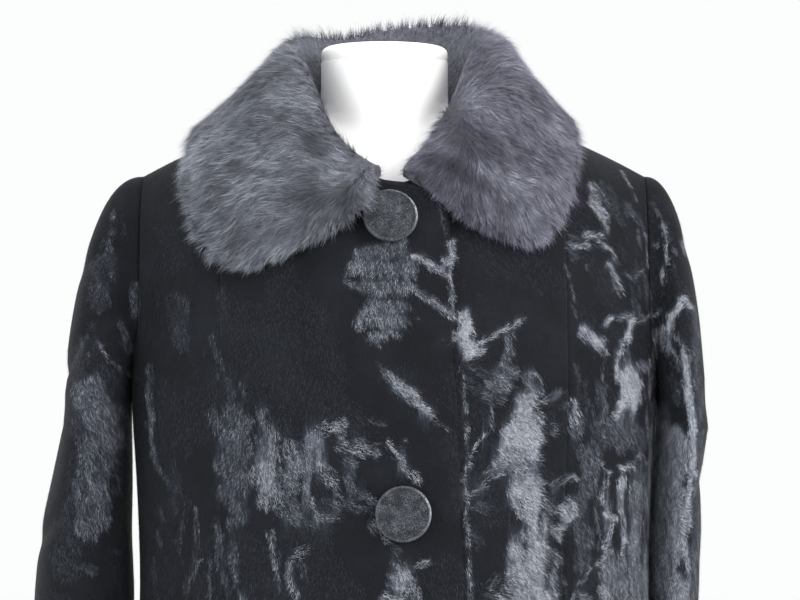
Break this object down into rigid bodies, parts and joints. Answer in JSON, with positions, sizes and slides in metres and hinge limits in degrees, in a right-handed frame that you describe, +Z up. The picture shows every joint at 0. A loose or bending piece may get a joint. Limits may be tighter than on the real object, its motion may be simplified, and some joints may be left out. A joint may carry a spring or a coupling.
{
  "type": "faux fur coat on a limbless dress form",
  "caption": "Buttoned A-line coat in crushed short black pile with a plush grey fur collar and large covered buttons, standing on a white dress form",
  "frame": {"origin": "on the floor, at the middle of the stand's base", "axes": "+Z up along the stand, front of the coat towards -Y, the wearer's left towards +X"},
  "size_m": [0.638, 0.4118, 1.4909],
  "materials": {
    "black_pile": "crushed short pile with a silvery nap",
    "grey_plush": "long soft pile",
    "button_cover": "matt short pile over a hard core",
    "form_white": "matt",
    "stand_steel": "brushed"
  },
  "bodies": {
    "root": {"front_right": "black_pile", "side_front_right": "black_pile", "front_left": "black_pile", "side_front_left": "black_pile", "back": "black_pile", "sleeve_right": "black_pile", "sleeve_left": "black_pile", "collar": "grey_plush", "button_1": "button_cover", "button_2": "button_cover", "button_3": "button_cover", "form_torso": "form_white", "form_neck_cap": "form_white", "form_pole": "stand_steel", "form_base": "stand_steel"}
  },
  "joints": []
}
